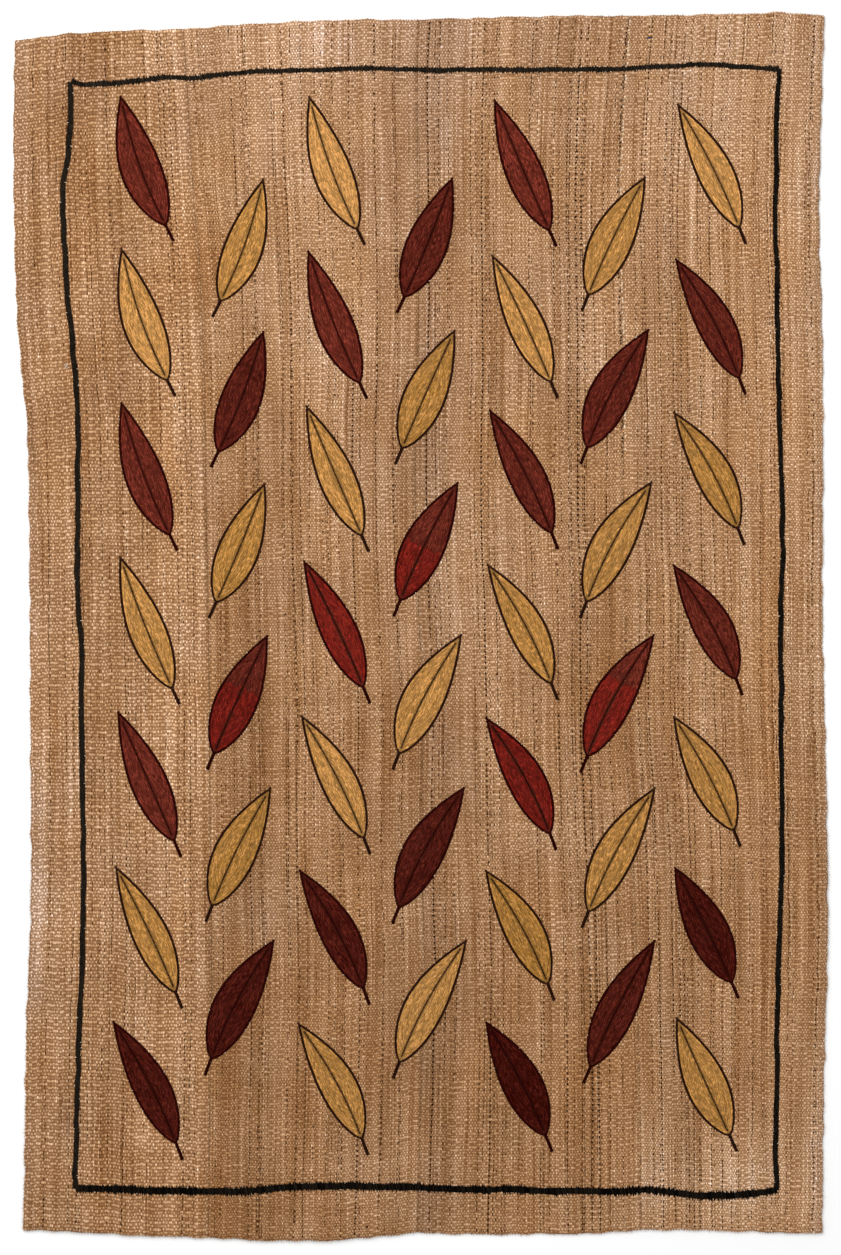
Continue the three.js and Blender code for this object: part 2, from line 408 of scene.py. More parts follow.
# The weave of each strip
weaves = {
    "strip_left": dict(warp=0.0033, pick=0.0070, ribShade=0.10, doubled=0.43, cloud=0.28, seed=11),
    "strip_mid_left": dict(warp=0.0030, pick=0.0055, ribShade=0.03, doubled=0.40, cloud=0.32, seed=23),
    "strip_mid_right": dict(warp=0.0030, pick=0.0057, ribShade=0.03, doubled=0.40, cloud=0.20, seed=37),
    "strip_right": dict(warp=0.0030, pick=0.0054, ribShade=0.03, doubled=0.40, cloud=0.12, seed=51),
}
# crown is the colour on a thread's top, shadow the painted shade in the valleys between threads
weaveLook = {
    "crown": dyed(222, 177, 134), "shadow": dyed(128, 84, 47), "warmer": (1.04, 0.92, 0.76, 1),
    "greyer": (0.93, 1.0, 1.20, 1), "wander": 0.005, "crowding": 0.0028, "bow": 0.014, "stagger": 0.28,
    "lowFloat": 0.35, "valley": 0.50, "cellTone": 0.11, "warpTone": 0.63, "streak": 0.19, "wideStreak": 0.24,
    "pickTone": 0.06, "slub": 0.26, "slubShare": 0.04, "fibre": 0.64, "level": 0.955, "greenFall": 1.35,
    "blueFall": 1.88, "warmStreak": 0.6, "warmCloud": 0.6, "bump": 0.0008, "bumpStrength": 0.8, "fuzz": 0.35,
    "roughness": 0.95, "gloss": 0.05,
}
# How fine the unevenness of the wool is
grain = {
    # a metre across and a metre along
    "wander": (16, 7), "crowding": (75, 9), "warmStreak": (22, 2.2), "warmCloud": (9, 7), "cloud": (9, 6),
    # a warp across and a metre along
    "doubled": (7.37, 24), "warpTone": (7.37, 2.5), "streak": (0.31, 2.2), "wideStreak": (0.09, 1.3),
    # a metre both ways
    "bow": 5.3, "fibre": 420.0,
}


def weaveMaterial(name, plan):
    material, tree, shader = newMaterial(name)
    uv = tree.nodes.new("ShaderNodeUVMap")
    uv.uv_map = "weave"
    split = tree.nodes.new("ShaderNodeSeparateXYZ")
    tree.links.new(uv.outputs[0], split.inputs[0])
    u, v, seed = split.outputs[0], split.outputs[1], plan["seed"]
    # threads that wander, crowd together and bow
    wander = stretchedNoise(tree, u, v, grain["wander"], seed, 1.0)
    crowding = stretchedNoise(tree, u, v, grain["crowding"], seed + 2, 0.0)
    across = calc(tree, "MULTIPLY_ADD", wander, weaveLook["wander"], u)
    across = calc(tree, "MULTIPLY_ADD", crowding, weaveLook["crowding"], across)
    along = calc(tree, "MULTIPLY_ADD", noise(tree, uv.outputs[0], grain["bow"], 1.0), weaveLook["bow"], v)
    across = calc(tree, "DIVIDE", across, plan["warp"])
    along = calc(tree, "DIVIDE", along, plan["pick"])
    warp = calc(tree, "FLOOR", across)
    along = calc(tree, "MULTIPLY_ADD", perThread(tree, warp, seed + 0.2), weaveLook["stagger"], along)
    pick = calc(tree, "FLOOR", along)
    # painted shade: each thread is mixed from the shadow colour in its valleys to the crown colour on its
    # top, and a thread that floats low reaches only part of the crown; the same hump also drives the bump
    roundWarp = calc(tree, "SINE", calc(tree, "MULTIPLY", calc(tree, "FRACT", across), math.pi))
    roundPick = calc(tree, "SINE", calc(tree, "MULTIPLY", calc(tree, "FRACT", along), math.pi))
    hump = calc(tree, "POWER", calc(tree, "MULTIPLY", roundWarp, roundPick), weaveLook["valley"])
    doubling = stretchedNoise(tree, warp, v, grain["doubled"], seed + 1, 0.0)
    doubled = calc(tree, "LESS_THAN", doubling, plan["doubled"])
    onTop = calc(tree, "FLOORED_MODULO", calc(tree, "ADD", calc(tree, "ADD", warp, doubled), pick), 2.0)
    share = calc(tree, "MULTIPLY_ADD", onTop, 1 - weaveLook["lowFloat"], weaveLook["lowFloat"])
    colour = blendColour(tree, calc(tree, "MULTIPLY", share, hump), weaveLook["shadow"], weaveLook["crown"])
    # streaks and clouds of warmer and greyer wool
    warmer = blendColour(tree, 1.0, colour, weaveLook["warmer"], "MULTIPLY")
    greyer = blendColour(tree, 1.0, colour, weaveLook["greyer"], "MULTIPLY")
    place = tree.nodes.new("ShaderNodeSeparateXYZ")
    tree.links.new(tree.nodes.new("ShaderNodeTexCoord").outputs["Object"], place.inputs[0])
    x, y = place.outputs[0], place.outputs[1]
    warmStreak = stretchedNoise(tree, u, v, grain["warmStreak"], seed + 6)
    warmCloud = stretchedNoise(tree, x, y, grain["warmCloud"], 3.3, 1.0)
    warmth = calc(tree, "MULTIPLY_ADD", warmStreak, 2 * weaveLook["warmStreak"], attribute(tree, "warmth"))
    warmth = calc(tree, "MULTIPLY_ADD", warmCloud, 2 * weaveLook["warmCloud"], warmth)
    warmth = calc(tree, "SUBTRACT", warmth, weaveLook["warmStreak"] + weaveLook["warmCloud"])
    colour = blendColour(tree, calc(tree, "MAXIMUM", warmth, 0.0), colour, warmer)
    coldness = calc(tree, "MULTIPLY", warmth, -1.0)
    colour = blendColour(tree, calc(tree, "MAXIMUM", coldness, 0.0), colour, greyer)
    slub = calc(tree, "GREATER_THAN", perCell(tree, warp, pick, seed + 9), 1 - weaveLook["slubShare"])
    # painted shade: a cosine at the pick pitch darkens the sides of each pick and lightens its middle
    ripple = calc(tree, "COSINE", calc(tree, "MULTIPLY", along, 2 * math.pi))
    fibre = noise(tree, uv.outputs[0], grain["fibre"])
    tones = [
        around(tree, perCell(tree, warp, pick, seed), weaveLook["cellTone"]),
        *[around(tree, stretchedNoise(tree, warp, v, grain[kind], seed + turn, 1.0), weaveLook[kind])
          for kind, turn in (("warpTone", 3), ("streak", 4), ("wideStreak", 5))],
        around(tree, perThread(tree, pick, seed + 0.5), weaveLook["pickTone"]),
        calc(tree, "MULTIPLY_ADD", ripple, -plan["ribShade"], 1.0),
        calc(tree, "MULTIPLY_ADD", slub, weaveLook["slub"], 1.0),
        around(tree, fibre, weaveLook["fibre"]),
        around(tree, stretchedNoise(tree, x, y, grain["cloud"], 8.1), plan["cloud"]),
        # the tone attribute brings the patches, the bands and the painted light that makes the rug paler
        # towards the top
        calc(tree, "ADD", attribute(tree, "tone"), 1.0),
    ]
    shade = weaveLook["level"]
    for tone in tones:
        shade = calc(tree, "MULTIPLY", tone, shade)
    # darker wool is browner, paler wool is greyer
    tint = tree.nodes.new("ShaderNodeCombineXYZ")
    feed(tree, tint.inputs[0], shade)
    feed(tree, tint.inputs[1], calc(tree, "POWER", shade, weaveLook["greenFall"]))
    feed(tree, tint.inputs[2], calc(tree, "POWER", shade, weaveLook["blueFall"]))
    feed(tree, shader.inputs["Base Color"], blendColour(tree, 1.0, colour, tint.outputs[0], "MULTIPLY"))
    shader.inputs["Roughness"].default_value = weaveLook["roughness"]
    shader.inputs["Specular IOR Level"].default_value = weaveLook["gloss"]
    height = calc(tree, "MULTIPLY_ADD", fibre, weaveLook["fuzz"], hump)
    roughen(tree, shader, height, weaveLook["bumpStrength"], weaveLook["bump"])
    return material


strips = {}
for node, plan in weaves.items():
    strip, sides, width = weaveStrip(node)
    strip.data.materials.append(weaveMaterial(node + "_wool", plan))
    strips[node] = {"sides": sides, "width": width}


# Stitches: each strand of yarn is a low ridge of eight points, pointed at both ends
strandFaces = {"three": [(0, 1, 2), (0, 2, 3), (7, 5, 4), (7, 6, 5)], "four": [(1, 4, 5, 2), (2, 5, 6, 3)]}
strandShape = {
    # each point's share of the length, bow, width and height, and how light it is: painted shade darkens the
    # strand's foot and ends
    "along": np.array([-0.5, -0.2, -0.2, -0.2, 0.22, 0.22, 0.22, 0.5]),
    "bow": np.array([0.1, 0.9, 0.9, 0.9, 1, 1, 1, 0.15]),
    "across": np.array([0, -0.5, 0, 0.5, -0.5, 0, 0.5, 0]),
    "up": np.array([0.25, 0, 1, 0, 0, 0.95, 0, 0.25]),
    "shade": np.array([0.62, 0.5, 1, 0.5, 0.5, 1, 0.5, 0.7]),
}
# A chain stitch is a row of loops, each of two strands; measures are shares of its pitch, width and rise
chainShape = {
    "jitter": 0.1, "size": (0.9, 1.1), "splay": 0.06, "length": 1.45, "width": 0.46, "apart": 0.25,
    "rise": (0.85, 1.0),
}


class Stitching:
    # collects strands and flat grounds of one colour of yarn, to be joined into one mesh; the grounds are
    # darkened as painted shade
    def __init__(self):
        self.points, self.threes, self.fours, self.shade, self.dye, self.count = [], [], [], [], [], 0

    def keep(self, points, threes, fours, shade, dye):
        self.points.append(points)
        self.threes.append(np.asarray(threes, int).reshape(-1, 3) + self.count)
        self.fours.append(np.asarray(fours, int).reshape(-1, 4) + self.count)
        self.shade.append(shade)
        self.dye.append(dye)
        self.count += len(points)

    def strands(self, place, angle, length, width, rise, bow=0.0, base=0.0032, dye=0.5,
                dyeSpread=0.0, tone=1.0, unevenness=0.35):
        count = len(place)
        sizes = (length, width, rise, bow)
        length, width, rise, bow = [np.broadcast_to(size, count)[:, None] for size in sizes]
        along = length * strandShape["along"]
        across = bow * strandShape["bow"] + width * strandShape["across"]
        up = rise * strandShape["up"]
        cos, sin = np.cos(angle)[:, None], np.sin(angle)[:, None]
        x = place[:, :1] + along * cos - across * sin
        y = place[:, 1:] + along * sin + across * cos
        points = np.stack([x, y, base + up + liftAt(x, y)], -1).reshape(-1, 3)
        start = 8 * np.arange(count)[:, None, None]
        tone = tone * (1 + chance.uniform(-unevenness, unevenness, count))
        dye = dye + chance.uniform(-dyeSpread, dyeSpread, count)
        shade = tone[:, None] * strandShape["shade"]
        self.keep(points, np.array(strandFaces["three"]) + start, np.array(strandFaces["four"]) + start,
                  shade.ravel(), np.repeat(dye, 8))

    def chain(self, line, pitch, width, rise, sway=0.06, **look):
        place, angle = pointsEvery(line, pitch, chainShape["jitter"])
        angle = angle + chance.normal(0, sway, len(angle))
        size = chance.uniform(*chainShape["size"], len(place))
        for side in (-1, 1):
            height = rise * chance.uniform(*chainShape["rise"], len(place))
            bow = side * width * chainShape["apart"] * size
            self.strands(place, angle + side * chainShape["splay"], pitch * chainShape["length"] * size,
                         width * chainShape["width"] * size, height, bow, **look)

    # painted shade: a flat sheet of the yarn under the stitches, darkened so that the gaps between strands
    # look shaded
    def ground(self, left, right, height=0.0034, shade=0.42, dye=0.5):
        plan = np.vstack([left, right])
        points = np.column_stack([plan, height + liftAt(plan[:, 0], plan[:, 1])])
        index = np.arange(len(left) - 1)
        across = index + len(left)
        self.keep(points, [], np.stack([index, across, across + 1, index + 1], 1),
                  np.full(len(points), shade), np.full(len(points), dye))

    def finish(self, name, material, slot):
        faces = [np.vstack(self.threes), np.vstack(self.fours)]
        values = {"shade": np.concatenate(self.shade), "dye": np.concatenate(self.dye)}
        thing = makeMesh(name, np.vstack(self.points), faces, values)
        thing.data.materials.append(material)
        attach(thing, "root")
        print(name, len(faces[0]) + 2 * len(faces[1]), "triangles")


yarnLook = {
    "fleckFineness": 900.0, "fleck": 0.35, "broadFineness": 14.0, "roughness": 0.9, "gloss": 0.04,
    "bump": 0.0003, "bumpStrength": 0.4,
}


def yarnMaterial(name, dull, bright, mottle=0.3):
    material, tree, shader = newMaterial(name)
    place = tree.nodes.new("ShaderNodeTexCoord").outputs["Object"]
    fleck = noise(tree, place, yarnLook["fleckFineness"])
    broad = noise(tree, place, yarnLook["broadFineness"])
    share = calc(tree, "ADD", attribute(tree, "dye"), calc(tree, "MULTIPLY_ADD", broad, mottle, -mottle / 2))
    colour = blendColour(tree, share, dull, bright)
    # the shade attribute carries the painted shade of the strands' feet and of the grounds under them
    shade = calc(tree, "MULTIPLY", attribute(tree, "shade"), around(tree, fleck, yarnLook["fleck"]))
    feed(tree, shader.inputs["Base Color"], scaleColour(tree, colour, shade))
    shader.inputs["Roughness"].default_value = yarnLook["roughness"]
    shader.inputs["Specular IOR Level"].default_value = yarnLook["gloss"]
    roughen(tree, shader, fleck, yarnLook["bumpStrength"], yarnLook["bump"])
    return material


yarns = {
    "red": yarnMaterial("red_wool", dyed(62, 5, 1), dyed(146, 62, 46)),
    "bright": yarnMaterial("bright_red_wool", dyed(94, 10, 5), dyed(158, 44, 33)),
    "gold": yarnMaterial("gold_wool", dyed(182, 128, 52), dyed(240, 178, 106), 0.2),
    "brown": yarnMaterial("brown_wool", dyed(44, 19, 9), dyed(92, 52, 30)),
    "black": yarnMaterial("black_wool", dyed(6, 3, 1), dyed(52, 43, 34)),
    "cloth": yarnMaterial("undyed_wool", dyed(36, 16, 5), dyed(250, 188, 130)),
    "pale": yarnMaterial("pale_wool", dyed(120, 84, 56), dyed(252, 224, 192)),
    "dark": yarnMaterial("dark_warp_wool", dyed(34, 13, 0), dyed(122, 76, 38)),
    "navy": yarnMaterial("navy_wool", dyed(44, 44, 66), dyed(92, 92, 118)),
}
clothYarn, paleYarn, darkYarn = Stitching(), Stitching(), Stitching()
fills = {"red": Stitching(), "bright": Stitching(), "gold": Stitching()}
outlines = Stitching()


# Leaves, in columns that lean left and right in turn
leafPlan = {
    "columns": 7, "columnPitch": 0.198, "rowPitch": 0.322, "centre": (0.016, -0.004), "perColumn": 7,
    "lean": 24, "length": 0.286, "width": 0.086, "fullness": 0.85, "belly": 0.8, "stalkLength": 0.036,
}
leafStray = {"shift": 0.007, "lean": 4, "length": 0.05, "width": 0.07, "bow": 0.013, "dye": 0.12}
# Red leaves that run over into a brighter red yarn: column and row, and the share from the stalk up
brightShare = {(1, 2): 0.55, (2, 3): 1.1, (3, 3): 0.45, (4, 2): 1.1, (5, 2): 0.60}
# Share of the brighter dye, from the bottom row up
leafDye = {
    "red": [0.22, 0.27, 0.60, 0.63, 0.48, 0.54, 0.54],
    "gold": [0.56, 0.38, 0.60, 0.46, 0.44, 0.58, 0.70],
}


def strayOf(leaf, trait):
    # how far a leaf strays in one trait, -1 to 1
    return math.sin(12.9898 * (leaf + 1) + 4.1414 * trait)


def leafPlaces():
    places = []
    for column in range(leafPlan["columns"]):
        dropped = column % 2
        count = leafPlan["perColumn"] - dropped
        for row in range(count):
            leaf = len(places)
            colour = "red" if (column // 2 + row) % 2 == 0 else "gold"
            x = leafPlan["centre"][0] + (column - (leafPlan["columns"] - 1) / 2) * leafPlan["columnPitch"]
            y = leafPlan["centre"][1] + (row - (count - 1) / 2) * leafPlan["rowPitch"]
            lean = -leafPlan["lean"] if dropped else leafPlan["lean"]
            places.append({
                "x": x + leafStray["shift"] * strayOf(leaf, 0),
                "y": y + leafStray["shift"] * strayOf(leaf, 1),
                "lean": math.radians(lean + leafStray["lean"] * strayOf(leaf, 2)),
                "length": leafPlan["length"] * (1 + leafStray["length"] * strayOf(leaf, 3)),
                "width": leafPlan["width"] * (1 + leafStray["width"] * strayOf(leaf, 4)),
                "bow": leafStray["bow"] * strayOf(leaf, 5),
                "colour": colour,
                "bright": brightShare.get((column, row), 0.0),
                "dye": leafDye[colour][row] + leafStray["dye"] * strayOf(leaf, 6),
            })
    return places


def halfWidth(place, steps):
    # half the width of a leaf at shares of its length
    return place["width"] / 2 * np.sin(np.pi * steps ** leafPlan["belly"]).clip(0) ** leafPlan["fullness"]


def onLeaf(place, across, along):
    # from a leaf's own measures to places on the rug
    whole = place["length"] + leafPlan["stalkLength"]
    x = across + place["bow"] * np.sin(np.pi * along / whole)
    y = along - whole / 2
    cos, sin = math.cos(place["lean"]), math.sin(place["lean"])
    return np.column_stack([place["x"] + x * cos - y * sin, place["y"] + x * sin + y * cos])


def clearOfLeaves(points):
    # true where no leaf is stitched over a point
    clear = np.ones(len(points), bool)
    for place in leafPlaces():
        x, y = points[:, 0] - place["x"], points[:, 1] - place["y"]
        cos, sin = math.cos(place["lean"]), math.sin(place["lean"])
        whole = place["length"] + leafPlan["stalkLength"]
        along = y * cos - x * sin + whole / 2
        across = x * cos + y * sin - place["bow"] * np.sin(np.pi * along / whole)
        steps = ((along - leafPlan["stalkLength"]) / place["length"]).clip(0, 1)
        clear &= np.abs(across) > halfWidth(place, steps)
    return clear


leafStitch = {
    "outline": 0.0054, "row": 0.0042, "pitch": 0.0075, "edgePitch": 0.0062, "rise": 0.0014, "steps": 120,
    "fewest": 8, "narrowest": 0.9, "rowTone": (0.88, 1.16), "yarnChange": 0.02, "unevenness": 0.45,
    "groundStep": 7, "inset": 0.001, "edgeInset": 0.0003, "edgeHeight": 0.0036,
    # the outline is of the leaf's own yarn on a red leaf and of brown yarn on a gold one
    "redEdge": {"dye": 0.0, "tone": 0.5, "dyeSpread": 0.12, "unevenness": 0.45, "sway": 0.12},
    "goldEdge": {"dye": 0.12, "tone": 0.9, "dyeSpread": 0.12, "unevenness": 0.45, "sway": 0.12},
    "goldSpread": 0.34, "redSpread": 0.12, "redSpreadByDye": 0.42,
    "vein": {"start": 0.04, "end": 0.93, "width": 0.8},
}
coarse = slice(None, None, leafStitch["groundStep"])
leafStalk = {
    "reach": 1.15, "steps": 24, "apart": 0.0019, "pitch": 0.0056, "width": 0.0037, "groundStep": 3,
    "ground": 0.003,
}
leafSpecks = {
    "count": 7, "among": (10, 110), "length": (0.002, 0.005), "dye": (0.6, 1.0),
    "yarn": {"width": 0.0016, "rise": 0.0012, "base": 0.0038},
}


def edgeLeaf(place, outline, along, half, edge):
    middle = (half - leafStitch["outline"] / 2).clip(0)
    for side in (-1, 1):
        outer = onLeaf(place, side * (half - leafStitch["edgeInset"]).clip(0), along)[coarse]
        inner = onLeaf(place, side * (half - leafStitch["outline"]).clip(0), along)[coarse]
        # painted shade: a dark ground under the outline
        outline.ground(outer, inner, height=leafStitch["edgeHeight"], dye=edge["dye"])
        outline.chain(onLeaf(place, side * middle, along), leafStitch["edgePitch"], leafStitch["outline"],
                      leafStitch["rise"], **edge)


def fillLeaf(place, fill, steps, along, half, spread):
    # rows that follow the leaf's edge, one inside the other
    row = leafStitch["outline"] + leafStitch["row"] / 2
    while row < place["width"] / 2 - leafStitch["row"]:
        inner = half - row
        kept = inner > leafStitch["row"] * leafStitch["narrowest"]
        tone = chance.uniform(*leafStitch["rowTone"])
        row += leafStitch["row"]
        if kept.sum() <= leafStitch["fewest"]:
            continue
        change = place["bright"] + chance.uniform(-leafStitch["yarnChange"], leafStitch["yarnChange"])
        for yarn, part in ((fill, kept & (steps >= change)), (fills["bright"], kept & (steps < change))):
            if part.sum() <= leafStitch["fewest"]:
                continue
            for side in (-1, 1):
                line = onLeaf(place, side * inner[part], along[part])[::side]
                yarn.chain(line, leafStitch["pitch"], leafStitch["row"], leafStitch["rise"], dye=place["dye"],
                           dyeSpread=spread, tone=tone, unevenness=leafStitch["unevenness"])


def speckLeaf(place, along, half):
    count = leafSpecks["count"]
    side, picked = chance.choice([-1, 1], count), chance.integers(*leafSpecks["among"], count)
    specks = onLeaf(place, side * half[picked], along[picked])
    paleYarn.strands(specks, chance.uniform(0, math.pi, count), chance.uniform(*leafSpecks["length"], count),
                     dye=chance.uniform(*leafSpecks["dye"], count), **leafSpecks["yarn"])


def stitchLeaf(place):
    fill = fills[place["colour"]]
    red = place["colour"] == "red"
    outline = fill if red else outlines
    edge = leafStitch["redEdge" if red else "goldEdge"]
    steps = np.linspace(0, 1, leafStitch["steps"])
    along = leafPlan["stalkLength"] + steps * place["length"]
    half = halfWidth(place, steps)
    inside = (half - leafStitch["inset"]).clip(0)
    # painted shade: a dark ground under the fill rows, showing between their strands
    fill.ground(onLeaf(place, -inside, along)[coarse], onLeaf(place, inside, along)[coarse], dye=place["dye"])
    edgeLeaf(place, outline, along, half, edge)
    spread = leafStitch["goldSpread"]
    if red:
        spread = leafStitch["redSpread"] + leafStitch["redSpreadByDye"] * place["dye"]
    fillLeaf(place, fill, steps, along, half, spread)
    if red:
        speckLeaf(place, along, half)
    vein = leafStitch["vein"]
    inner = along[(steps > vein["start"]) & (steps < vein["end"])]
    outline.chain(onLeaf(place, 0, inner), leafStitch["edgePitch"], leafStitch["outline"] * vein["width"],
                  leafStitch["rise"], **edge)
    stalk = np.linspace(0, leafPlan["stalkLength"] * leafStalk["reach"], leafStalk["steps"])
    for side in (-1, 1):
        outline.chain(onLeaf(place, side * leafStalk["apart"], stalk), leafStalk["pitch"], leafStalk["width"],
                      leafStitch["rise"], **edge)
    # painted shade: a dark ground under the stalk's stitches
    stalk = stalk[::leafStalk["groundStep"]]
    left, right = onLeaf(place, -leafStalk["ground"], stalk), onLeaf(place, leafStalk["ground"], stalk)
    outline.ground(left, right, dye=edge["dye"])


for place in leafPlaces():
    stitchLeaf(place)
outlines.finish("leaf_outlines", yarns["brown"], "brown_wool")


# Border line, which wanders a little along each side
border = {
    "step": 0.01, "drift": [(3, 0.0017), (11, 0.0014)], "ground": 0.395, "groundDrift": (2, 0.07),
    "rise": 0.0014, "pitch": 0.0056, "rows": (-0.8, 0.0, 0.8), "rowWidth": 0.38, "rowSway": 0.2,
    "rowSpread": 0.3,
    "width": {"top": 0.0108, "right": 0.0115, "bottom": 0.0158, "left": 0.0122},
    "dye": {"top": 0.46, "right": 0.36, "bottom": 0.12, "left": 0.58},
}
slanting = {
    "pitch": 0.0052, "jitter": 0.2, "scatter": 0.0006, "slant": 0.14, "sway": 0.08, "long": 1.45,
    "short": 1.05, "longShare": 0.45, "drift": (7, 0.16), "width": 0.85, "spread": 0.25,
}
borderSpecks = {
    "pitch": 0.05, "jitter": 0.5, "aside": 0.47, "turn": 0.6, "length": (0.003, 0.007), "dye": (0.5, 1.0),
    "yarn": {"width": 0.0014, "rise": 0.0010, "base": 0.0042},
}
borderSides = {
    "top": [(-0.737, 1.149), (-0.682, 1.144), (-0.539, 1.159), (-0.467, 1.158), (-0.362, 1.170),
            (-0.159, 1.175), (0.058, 1.175), (0.379, 1.176), (0.594, 1.186), (0.665, 1.181), (0.756, 1.176)],
    "right": [(0.756, 1.176), (0.749, 1.000), (0.749, 0.795), (0.758, 0.373), (0.764, 0.141),
              (0.760, -0.027), (0.762, -0.470), (0.751, -0.892), (0.750, -1.187)],
    "bottom": [(0.750, -1.187), (0.621, -1.199), (0.492, -1.186), (0.406, -1.191), (0.168, -1.185),
               (-0.210, -1.179), (-0.436, -1.191), (-0.727, -1.184)],
    "left": [(-0.727, -1.184), (-0.727, -1.071), (-0.711, -0.597), (-0.715, -0.217), (-0.716, -0.027),
             (-0.724, 0.067), (-0.723, 0.447), (-0.746, 0.732), (-0.754, 0.912), (-0.742, 1.017),
             (-0.737, 1.149)],
}


def speckBorder(line, width):
    specks, angle = pointsEvery(line, borderSpecks["pitch"], borderSpecks["jitter"])
    count = len(specks)
    aside = borderSpecks["aside"] * chance.choice([-1, 1], count)[:, None] * width
    specks = specks + aside * np.column_stack([-np.sin(angle), np.cos(angle)])
    paleYarn.strands(specks, angle + math.pi / 2 + chance.normal(0, borderSpecks["turn"], count),
                     chance.uniform(*borderSpecks["length"], count),
                     dye=chance.uniform(*borderSpecks["dye"], count), **borderSpecks["yarn"])


def stitchBorder(name, rows, yarn):
    line = smoothLine(rows, border["step"])
    drift = sum(wavering(len(line), reach, amount) for reach, amount in border["drift"])
    line = besideLine(line, drift[:, None])
    width, dye = border["width"][name], border["dye"][name]
    half = width * (border["ground"] + wavering(len(line), *border["groundDrift"]))[:, None]
    # painted shade: a dark ground under the border's stitches
    yarn.ground(besideLine(line, half), besideLine(line, -half), dye=dye)
    speckBorder(line, width)
    if name in ("left", "right"):
        for share in border["rows"]:
            yarn.chain(besideLine(line, share * half), border["pitch"], width * border["rowWidth"],
                       border["rise"], sway=border["rowSway"], dye=dye, dyeSpread=border["rowSpread"])
        return
    place, angle = pointsEvery(line, slanting["pitch"] / 2, slanting["jitter"])
    count = len(place)
    size = np.where(chance.uniform(0, 1, count) < slanting["longShare"], slanting["long"], slanting["short"])
    size = size * (1 + wavering(count, *slanting["drift"]))
    place = place + chance.normal(0, slanting["scatter"], (count, 2))
    angle = angle + math.pi / 2 + slanting["slant"] + chance.normal(0, slanting["sway"], count)
    yarn.strands(place, angle, width * size, slanting["pitch"] * slanting["width"], border["rise"], dye=dye,
                 dyeSpread=slanting["spread"])


borderYarn = Stitching()
for name, rows in borderSides.items():
    stitchBorder(name, rows, borderYarn)
borderYarn.finish("border_line", yarns["black"], "black_wool")


# Dark warps that show as dashed lines
darkWarps = {
    # share of the strip's width from the left, strength, width, and zigzag if it has one
    "strip_left": [(0.30, 0.25, 0.002), (0.55, 0.30, 0.002), (0.86, 0.45, 0.0022)],
    "strip_mid_left": [
        (0.055, 0.40, 0.002), (0.19, 0.55, 0.0024), (0.228, 0.45, 0.002),
        (0.369, 0.45, 0.002), (0.411, 0.55, 0.0022), (0.449, 0.45, 0.002),
        (0.492, 0.50, 0.0022), (0.553, 0.40, 0.002), (0.629, 0.50, 0.0022),
        (0.700, 0.70, 0.0026, 0.5), (0.813, 0.55, 0.0022), (0.894, 0.45, 0.002),
    ],
    "strip_mid_right": [
        (0.051, 0.95, 0.003, 0.2), (0.104, 0.50, 0.0022), (0.263, 0.50, 0.002),
        (0.316, 0.90, 0.0028), (0.374, 0.45, 0.002), (0.549, 0.55, 0.0022),
        (0.563, 0.45, 0.002), (0.669, 0.50, 0.0022), (0.737, 0.55, 0.0022),
        (0.780, 0.90, 0.0028, 0.1), (0.814, 0.80, 0.0026), (0.862, 0.55, 0.0022),
        (0.920, 0.50, 0.0022),
    ],
    "strip_right": [
        (0.120, 0.70, 0.0024, 0.1), (0.190, 0.60, 0.0024), (0.252, 0.50, 0.002),
        (0.293, 0.50, 0.0022), (0.323, 0.45, 0.002), (0.389, 0.45, 0.002),
        (0.450, 0.55, 0.0022), (0.756, 0.50, 0.0022), (0.949, 0.55, 0.0026, 0.6),
    ],
}
faintWarps = {"perStrip": 24, "among": (0.02, 0.98), "strength": (0.20, 0.50), "width": 0.0018}
warpLine = {
    "steps": 260, "start": 0.002, "end": 0.998, "drift": (9, 0.0012), "jitter": 0.12, "fading": (40, 0.35),
    "sway": 0.1, "yarn": {"rise": 0.0006, "base": 0.0030, "dyeSpread": 0.15},
}
dashes = {
    # of a dash that lies on top and of one that dips
    "kept": (1.1, 0.8), "length": (1.2, 0.75), "width": (1.05, 0.95), "wider": (0.3, 0.0),
    "dye": (0.74, 0.82), "darker": (0.68, 0.0),
}


def stitchWarp(node, share, strength, width, zigzag=0.0):
    strip, pick = strips[node], weaves[node]["pick"]
    steps = np.linspace(warpLine["start"], warpLine["end"], warpLine["steps"])
    drift = wavering(len(steps), *warpLine["drift"]) / strip["width"]
    place, angle = pointsEvery(stripPoint(strip["sides"], share + drift, steps), pick, warpLine["jitter"])
    count = len(place)
    number = np.arange(count)
    dash = {part: np.where(number % 2 == 0, top, dipped) for part, (top, dipped) in dashes.items()}
    fading = strength + wavering(count, *warpLine["fading"])
    kept = chance.uniform(0, 1, count) < fading * dash["kept"]
    turn = zigzag * np.where(number % 4 < 2, 1, -1) + chance.normal(0, warpLine["sway"], count)
    fading = fading.clip(0, 1)
    width = width * (dash["width"] + dash["wider"] * fading)
    dye = dash["dye"] - dash["darker"] * fading
    darkYarn.strands(place[kept], (angle + turn)[kept], pick * dash["length"][kept], width[kept],
                     dye=dye[kept], **warpLine["yarn"])


allWarps = [(node, *warp) for node, warps in darkWarps.items() for warp in warps]
for node in weaves:
    for share in chance.uniform(*faintWarps["among"], faintWarps["perStrip"]):
        allWarps.append((node, share, chance.uniform(*faintWarps["strength"]), faintWarps["width"]))
for warp in allWarps:
    stitchWarp(*warp)

